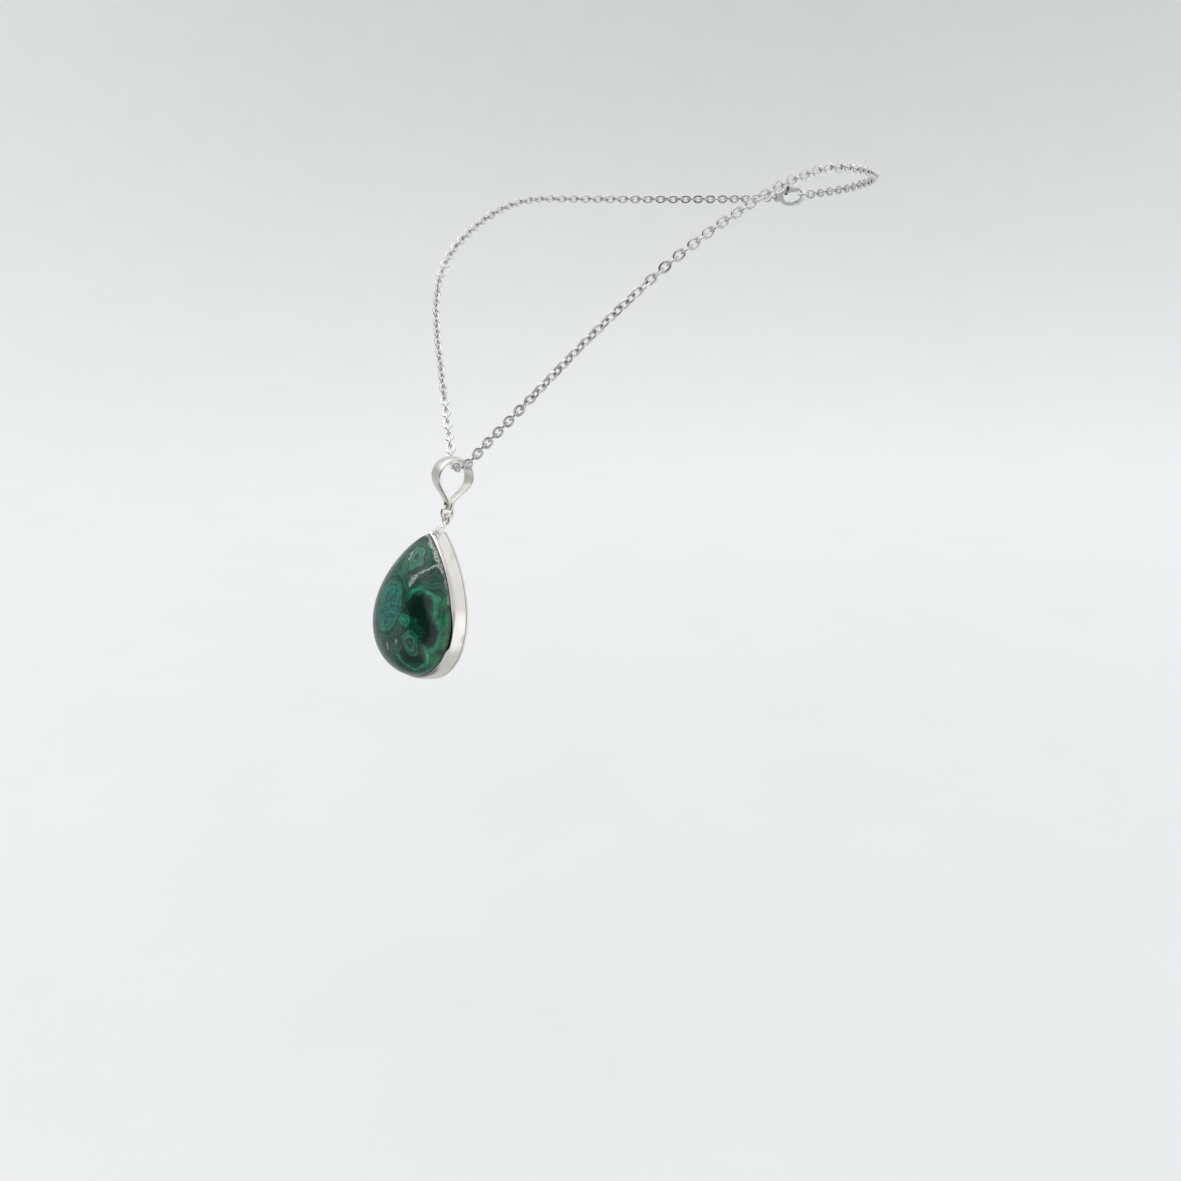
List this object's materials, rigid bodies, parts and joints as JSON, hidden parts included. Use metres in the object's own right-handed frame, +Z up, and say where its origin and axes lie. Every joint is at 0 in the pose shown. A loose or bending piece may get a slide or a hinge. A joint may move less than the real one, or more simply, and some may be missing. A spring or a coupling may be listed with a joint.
{
  "type": "pendant necklace",
  "caption": "Cable-chain necklace as worn, with a lobster clasp at the nape, a ribbon bail and a swinging pear-shaped stone pendant in a bezel setting.",
  "frame": {"origin": "middle of the clasp, where the necklace rests on the back of the wearer's neck", "axes": "+Z up, the pendant faces -Y, +X to the right of someone who faces the wearer"},
  "size_m": [0.1168, 0.1458, 0.1195],
  "materials": {
    "stone": "polished banded malachite",
    "setting": "polished silver",
    "bail": "satin silver with fine scratches",
    "chain": "bright polished steel",
    "clasp": "bright polished steel"
  },
  "bodies": {
    "shoulders": {"chain_right_shoulder": "chain", "chain_left_shoulder": "chain", "chain_right_nape": "chain", "chain_left_nape": "chain", "right_end_link": "chain", "left_end_link": "chain", "clasp_ring": "clasp", "catch_ring": "clasp"},
    "collar": {"chain_right_collar": "chain", "chain_left_collar": "chain"},
    "upper": {"chain_right_upper": "chain", "chain_left_upper": "chain"},
    "middle": {"chain_right_middle": "chain", "chain_left_middle": "chain"},
    "lower": {"chain_right_lower": "chain", "chain_left_lower": "chain", "chain_apex": "chain"},
    "bail": {"bail": "bail"},
    "ring": {"jump_ring": "setting"},
    "pendant": {"bezel_eye": "setting", "bezel_wall": "setting", "back_plate": "setting", "cabochon": "stone"},
    "clasp": {"clasp_body": "clasp", "clasp_pin": "clasp", "clasp_spring": "clasp"},
    "lever": {"clasp_lever": "clasp"}
  },
  "joints": [
    {"name": "collar_lift", "type": "hinge", "parent": "shoulders", "child": "collar", "pos_m": [0, -0.07568, -0.0068], "axis": [-1, 0, 0], "range_deg": [0, 20]},
    {"name": "upper_lift", "type": "hinge", "parent": "collar", "child": "upper", "pos_m": [0, -0.09322, -0.01975], "axis": [-1, 0, 0], "range_deg": [0, 20]},
    {"name": "middle_lift", "type": "hinge", "parent": "upper", "child": "middle", "pos_m": [0, -0.10411, -0.03517], "axis": [-1, 0, 0], "range_deg": [0, 20]},
    {"name": "lower_lift", "type": "hinge", "parent": "middle", "child": "lower", "pos_m": [0, -0.11242, -0.0511], "axis": [-1, 0, 0], "range_deg": [0, 20]},
    {"name": "bail_swing", "type": "hinge", "parent": "lower", "child": "bail", "pos_m": [0, -0.1199, -0.0649], "axis": [-1, 0, 0], "range_deg": [0, 50]},
    {"name": "ring_sway", "type": "hinge", "parent": "bail", "child": "ring", "pos_m": [0, -0.12305, -0.07418], "axis": [0, 0.9681, -0.2504], "range_deg": [-30, 30]},
    {"name": "pendant_swing", "type": "hinge", "parent": "ring", "child": "pendant", "pos_m": [0, -0.12338, -0.07543], "axis": [-0.9945, -0.1012, 0.0262], "range_deg": [0, 50]},
    {"name": "clasp_roll", "type": "hinge", "parent": "shoulders", "child": "clasp", "pos_m": [0, 0, 0.0003], "axis": [1, 0, 0], "range_deg": [-20, 20]},
    {"name": "lever_press", "type": "hinge", "parent": "clasp", "child": "lever", "pos_m": [-0.0022, 0, 0.0015], "axis": [0, 1, 0], "range_deg": [0, 20], "stiffness_Nm_per_rad": 0.002, "springref_deg": -5.73}
  ]
}
